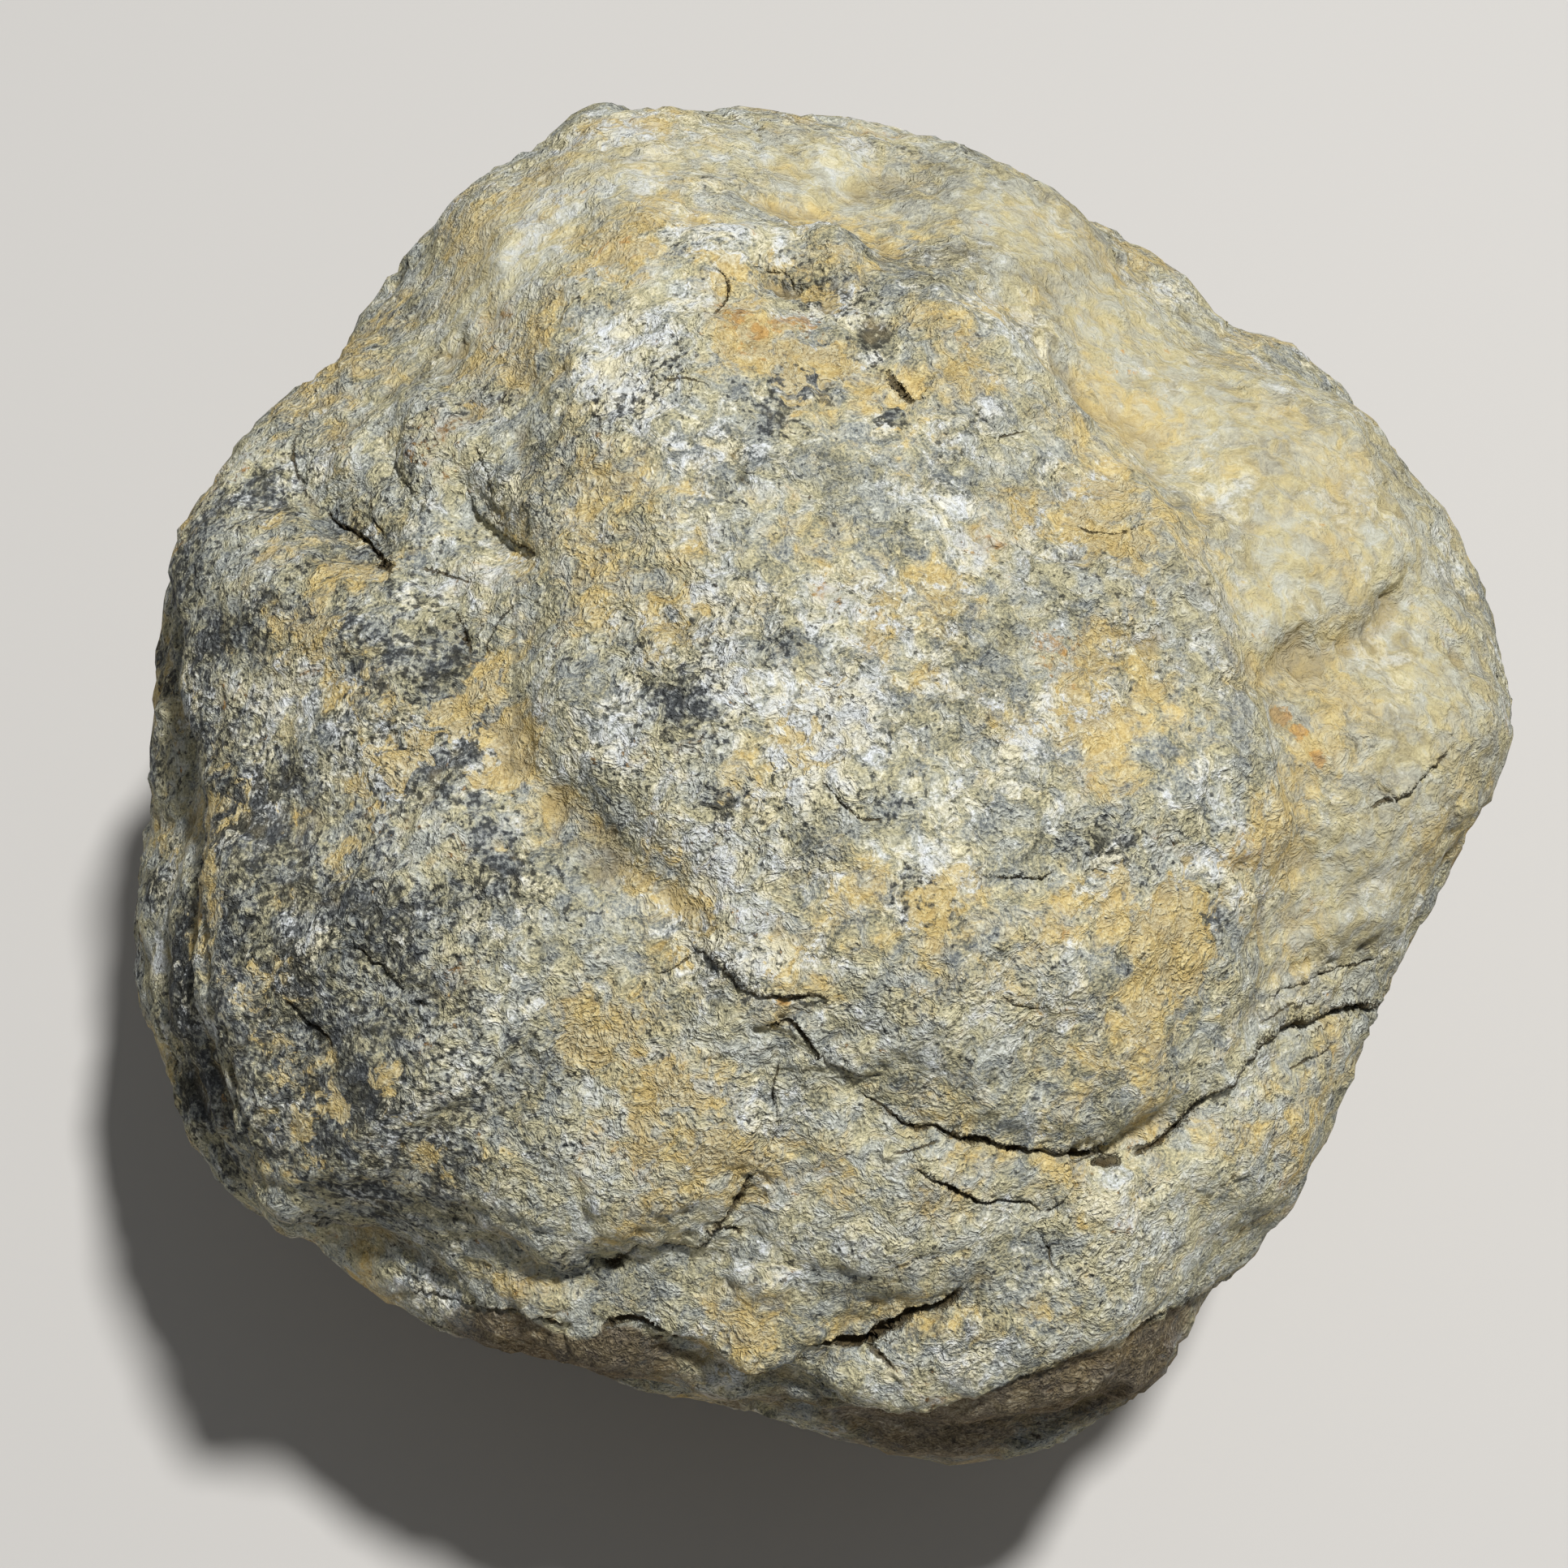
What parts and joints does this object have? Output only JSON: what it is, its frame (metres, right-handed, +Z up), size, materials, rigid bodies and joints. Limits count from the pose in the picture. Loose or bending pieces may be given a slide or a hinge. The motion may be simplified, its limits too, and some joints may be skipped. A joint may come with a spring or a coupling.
{
  "type": "quartz geode",
  "caption": "Whole uncut quartz geode: a lumpy round stone of broad lobes with folds, cracks and a chalky weathered skin, resting on a small flat spot.",
  "frame": {"origin": "middle of the bounding box, at the height of the flat spot that the stone rests on", "axes": "+Z up from the flat spot; +Y away from the picture's viewer; +X to that viewer's right"},
  "size_m": [0.1108, 0.1148, 0.0793],
  "materials": {
    "weathered_stone": "matt, chalky and granular; ochre, cream and grey mottling"
  },
  "bodies": {
    "root": {"geode": "weathered_stone"}
  },
  "joints": []
}
